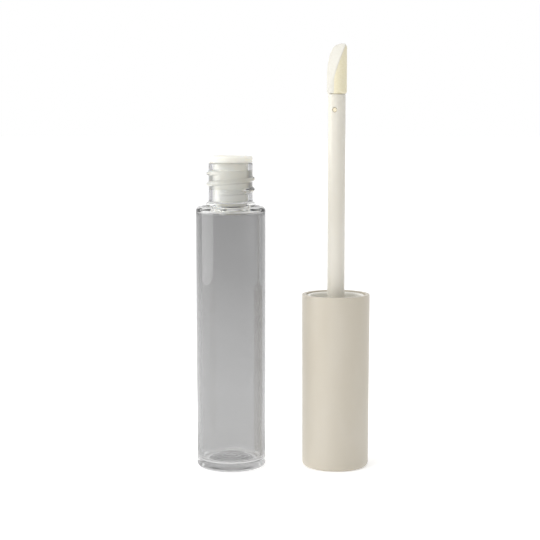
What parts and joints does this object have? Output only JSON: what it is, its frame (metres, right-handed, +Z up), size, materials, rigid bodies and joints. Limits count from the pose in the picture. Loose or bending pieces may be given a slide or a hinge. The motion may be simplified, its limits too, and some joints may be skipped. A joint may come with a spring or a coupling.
{
  "type": "lip gloss tube",
  "caption": "Open lip gloss tube: clear threaded bottle with wiper plug, and a cap with rod and flocked doe-foot tip stood beside it.",
  "frame": {"origin": "on the surface that both halves stand on, at the middle of the box round the open pair", "axes": "+Z up, along the axes of the bottle and of the applicator; +X from the bottle to the applicator; +Y to the back"},
  "size_m": [0.0414, 0.0164, 0.1005],
  "materials": {
    "clear_petg": "clear, blown, high gloss",
    "natural_polyethylene": "natural translucent, moulded satin",
    "ivory_polypropylene": "moulded, fine satin",
    "white_polypropylene": "moulded, semi-gloss",
    "foam_liner": "closed-cell foam",
    "tip_elastomer": "moulded, soft",
    "nylon_flock": "short flocked fibres"
  },
  "bodies": {
    "bottle": {"bottle": "clear_petg"},
    "wiper": {"wiper": "natural_polyethylene"},
    "seal_washer": {"seal_washer": "foam_liner"},
    "applicator": {"outer_cap": "ivory_polypropylene", "inner_cap": "white_polypropylene", "rod": "white_polypropylene", "tip_core": "tip_elastomer", "flock_coat": "nylon_flock"}
  },
  "joints": [
    {"name": "wiper_pull", "type": "slide", "parent": "bottle", "child": "wiper", "axis": [0, 0, 1], "range_m": [0, 0.015]},
    {"name": "applicator_lift", "type": "slide", "parent": "bottle", "child": "seal_washer", "axis": [0, 0, 1], "range_m": [0, 0.071]},
    {"name": "cap_turn", "type": "hinge", "parent": "seal_washer", "child": "applicator", "pos_m": [0.0126, 0, 0], "axis": [0, 0, 1], "continuous": true}
  ]
}
